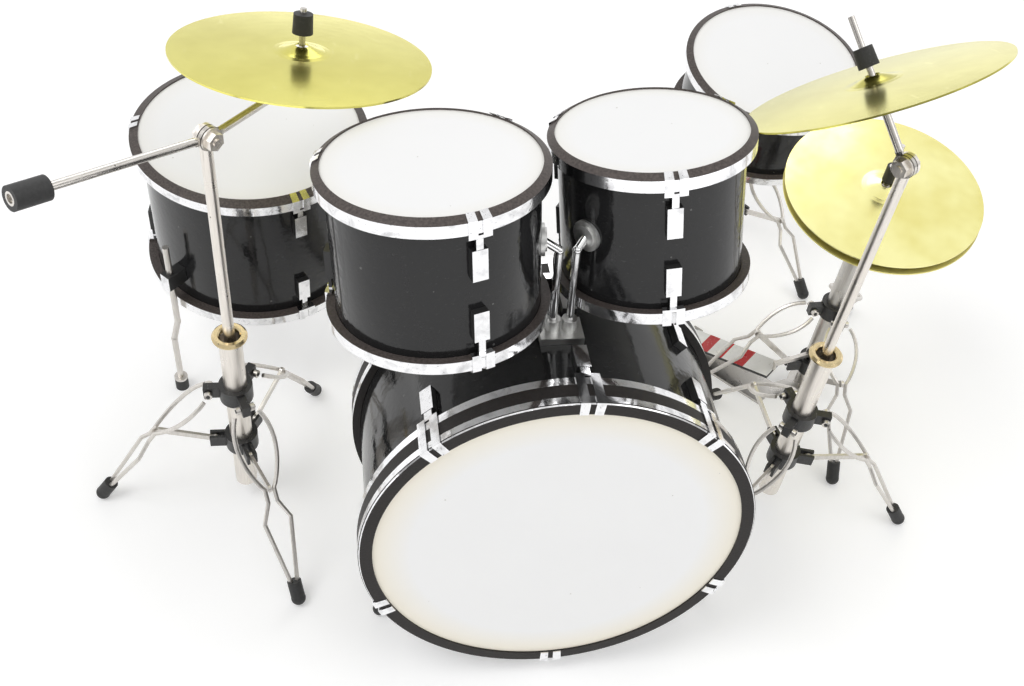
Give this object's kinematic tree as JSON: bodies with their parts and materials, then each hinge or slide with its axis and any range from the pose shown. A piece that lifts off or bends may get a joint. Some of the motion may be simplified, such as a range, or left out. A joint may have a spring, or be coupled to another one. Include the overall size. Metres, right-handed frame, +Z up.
{
  "type": "miniature acoustic drum kit",
  "caption": "Desktop miniature drum kit: bass drum with two mounted toms, floor tom, snare, hi-hat and two crash cymbals on folding wire tripod stands, with foot pedals.",
  "frame": {"origin": "centre of the footprint on the floor, at the base of the kit", "axes": "+Z up, +Y away from the audience towards the drummer's place, +X to the right as the audience sees the kit"},
  "size_m": [0.3, 0.2484, 0.1938],
  "materials": {
    "black_wrap": "gloss black wrap with a fine vertical grain",
    "hoop_black": "grained black ring with bright bands round the drum",
    "head_white": "plain white coated film",
    "chrome_trim": "bright",
    "black_plastic": "satin moulded",
    "black_rubber": "matt",
    "brass_ring": "satin",
    "cymbal_brass": "plain rolled sheet with faint spots",
    "white_board": "white with plain red stripes",
    "satin_steel": "satin nickel-plated"
  },
  "bodies": {
    "kit": {"bass_shell": "black_wrap", "bass_hoops": "hoop_black", "bass_heads": "head_white", "bass_lugs": "chrome_trim", "tom_mount": "chrome_trim", "floor_legs": "satin_steel", "snare_stand": "satin_steel", "stand_collars": "black_plastic", "hat_stand": "satin_steel", "hat_legs": "satin_steel", "hat_bottom": "cymbal_brass", "left_tube": "satin_steel", "tube_rings": "brass_ring", "right_tube": "satin_steel", "right_legs": "satin_steel", "kick_base": "satin_steel"},
    "spur_l": {"spur_left": "satin_steel"},
    "spur_r": {"spur_right": "satin_steel"},
    "tom1_holder": {"tom1_arm": "satin_steel"},
    "tom1_drum": {"tom1_shell": "black_wrap", "tom1_hoops": "hoop_black", "tom1_heads": "head_white", "tom1_lugs": "chrome_trim", "tom1_flange": "satin_steel"},
    "tom2_holder": {"tom2_arm": "satin_steel"},
    "tom2_drum": {"tom2_shell": "black_wrap", "tom2_hoops": "hoop_black", "tom2_heads": "head_white", "tom2_lugs": "chrome_trim", "tom2_flange": "satin_steel"},
    "floor_drum": {"floor_shell": "black_wrap", "floor_hoops": "hoop_black", "floor_heads": "head_white", "floor_lugs": "chrome_trim"},
    "snare_drum": {"snare_shell": "black_wrap", "snare_hoops": "hoop_black", "snare_heads": "head_white", "snare_hardware": "chrome_trim", "snare_basket": "satin_steel"},
    "hat_pull": {"hat_rod": "satin_steel", "hat_top": "cymbal_brass"},
    "hat_pedal": {"hat_footboard": "white_board"},
    "leg_a": {"left_leg_a": "satin_steel"},
    "leg_b": {"left_leg_b": "satin_steel"},
    "leg_c": {"left_leg_c": "satin_steel"},
    "slider": {"left_slider": "black_plastic"},
    "brace_a": {"left_brace_a": "satin_steel"},
    "brace_b": {"left_brace_b": "satin_steel"},
    "brace_c": {"left_brace_c": "satin_steel"},
    "left_post": {"left_upper": "satin_steel"},
    "boom": {"left_boom": "satin_steel", "left_weight": "black_rubber", "left_sleeve": "black_rubber"},
    "crash_left": {"left_cymbal": "cymbal_brass"},
    "right_post": {"right_upper": "satin_steel"},
    "tilter": {"right_tilter": "satin_steel", "right_sleeve": "black_rubber"},
    "crash_right": {"right_cymbal": "cymbal_brass"},
    "kick_board": {"kick_footboard": "satin_steel"},
    "beater": {"kick_beater": "satin_steel"}
  },
  "joints": [
    {"name": "spur_left_fold", "type": "hinge", "parent": "kit", "child": "spur_l", "pos_m": [-0.05569, -0.09523, 0.02886], "axis": [1, 0, 0], "range_deg": [0, 75]},
    {"name": "spur_right_fold", "type": "hinge", "parent": "kit", "child": "spur_r", "pos_m": [0.04349, -0.09523, 0.02886], "axis": [1, 0, 0], "range_deg": [0, 75]},
    {"name": "tom1_swivel", "type": "hinge", "parent": "kit", "child": "tom1_holder", "pos_m": [-0.0101, -0.07901, 0.14298], "axis": [-0.0262, 0.1097, 0.9936], "range_deg": [-2, 30]},
    {"name": "tom1_tilt", "type": "hinge", "parent": "tom1_holder", "child": "tom1_drum", "pos_m": [-0.0101, -0.07901, 0.14298], "axis": [-0.8439, 0.192, 0.5009], "range_deg": [-6, 6]},
    {"name": "tom2_swivel", "type": "hinge", "parent": "kit", "child": "tom2_holder", "pos_m": [-0.0055, -0.07901, 0.14298], "axis": [-0.0262, 0.1097, 0.9936], "range_deg": [-0.5, 4]},
    {"name": "tom2_tilt", "type": "hinge", "parent": "tom2_holder", "child": "tom2_drum", "pos_m": [-0.0055, -0.07901, 0.14298], "axis": [0.5828, 0.6125, 0.534], "range_deg": [-3, 2]},
    {"name": "floor_height", "type": "slide", "parent": "kit", "child": "floor_drum", "axis": [0, 0, 1], "range_m": [-0.014, 0.01]},
    {"name": "snare_tilt", "type": "hinge", "parent": "kit", "child": "snare_drum", "pos_m": [0.1019, 0.0782, 0.053], "axis": [1, 0, 0], "range_deg": [-12, 6]},
    {"name": "hat_pedal", "type": "hinge", "parent": "kit", "child": "hat_pedal", "pos_m": [0.0734, 0.0127, 0.0034], "axis": [0.7193, 0.6947, 0], "range_deg": [0, 2.27]},
    {"name": "hat_pull", "type": "slide", "parent": "kit", "child": "hat_pull", "axis": [0, 0, -1], "range_m": [0, 0.0014], "stiffness_N_per_m": 250, "springref_m": -0.0014},
    {"name": "leg_a_fold", "type": "hinge", "parent": "kit", "child": "leg_a", "pos_m": [-0.1076, -0.0488, 0.055], "axis": [0, -1, 0], "range_deg": [0, 38]},
    {"name": "leg_b_fold", "type": "hinge", "parent": "kit", "child": "leg_b", "pos_m": [-0.09605, -0.05674, 0.055], "axis": [0.9336, 0.3584, 0], "range_deg": [0, 38]},
    {"name": "leg_c_fold", "type": "hinge", "parent": "kit", "child": "leg_c", "pos_m": [-0.09498, -0.04137, 0.055], "axis": [-0.8746, 0.4848, 0], "range_deg": [0, 38]},
    {"name": "slider_travel", "type": "slide", "parent": "kit", "child": "slider", "axis": [0, 0, -1], "range_m": [0, 0.02089]},
    {"name": "brace_a_fold", "type": "hinge", "parent": "slider", "child": "brace_a", "pos_m": [-0.1076, -0.0488, 0.0304], "axis": [0, 1, 0], "range_deg": [0, 64.62]},
    {"name": "brace_b_fold", "type": "hinge", "parent": "slider", "child": "brace_b", "pos_m": [-0.09605, -0.05674, 0.0304], "axis": [-0.9336, -0.3584, 0], "range_deg": [0, 64.62]},
    {"name": "brace_c_fold", "type": "hinge", "parent": "slider", "child": "brace_c", "pos_m": [-0.09498, -0.04137, 0.0304], "axis": [0.8746, -0.4848, 0], "range_deg": [0, 64.62]},
    {"name": "left_height", "type": "slide", "parent": "kit", "child": "left_post", "axis": [0, 0, 1], "range_m": [-0.025, 0.02]},
    {"name": "boom_tilt", "type": "hinge", "parent": "left_post", "child": "boom", "pos_m": [-0.09808, -0.04976, 0.1562], "axis": [0.7278, -0.6858, 0], "range_deg": [-12, 12]},
    {"name": "crash_left_rock", "type": "hinge", "parent": "boom", "child": "crash_left", "pos_m": [-0.07453, -0.01435, 0.15931], "axis": [0.4879, -0.8533, 0.184], "range_deg": [-8, 8], "stiffness_Nm_per_rad": 0.005},
    {"name": "right_height", "type": "slide", "parent": "kit", "child": "right_post", "axis": [0, 0, 1], "range_m": [0, 0.02]},
    {"name": "tilter_tilt", "type": "hinge", "parent": "right_post", "child": "tilter", "pos_m": [0.08413, -0.06387, 0.1576], "axis": [-0.8348, -0.5505, 0], "range_deg": [-10, 2]},
    {"name": "crash_right_rock", "type": "hinge", "parent": "tilter", "child": "crash_right", "pos_m": [0.07502, -0.04722, 0.17423], "axis": [-0.9416, -0.2226, -0.2527], "range_deg": [-8, 8], "stiffness_Nm_per_rad": 0.005},
    {"name": "kick_pedal", "type": "hinge", "parent": "kit", "child": "kick_board", "pos_m": [-0.0061, -0.00916, 0.0034], "axis": [1, 0, 0], "range_deg": [0, 12], "stiffness_Nm_per_rad": 0.02},
    {"name": "beater_swing", "type": "hinge", "parent": "kit", "child": "beater", "pos_m": [-0.0061, -0.05216, 0.026], "axis": [1, 0, 0], "range_deg": [0, 36.02]}
  ],
  "couplings": [
    {"joint": "hat_pedal", "follows": "hat_pull", "rad_per_m": 28.236},
    {"joint": "leg_b_fold", "follows": "leg_a_fold", "ratio": 1},
    {"joint": "leg_c_fold", "follows": "leg_a_fold", "ratio": 1},
    {"joint": "slider_travel", "follows": "leg_a_fold", "m_per_rad": 0.031475},
    {"joint": "brace_a_fold", "follows": "leg_a_fold", "ratio": 1.6997},
    {"joint": "brace_b_fold", "follows": "leg_a_fold", "ratio": 1.6997},
    {"joint": "brace_c_fold", "follows": "leg_a_fold", "ratio": 1.6997},
    {"joint": "beater_swing", "follows": "kick_pedal", "ratio": 3}
  ]
}
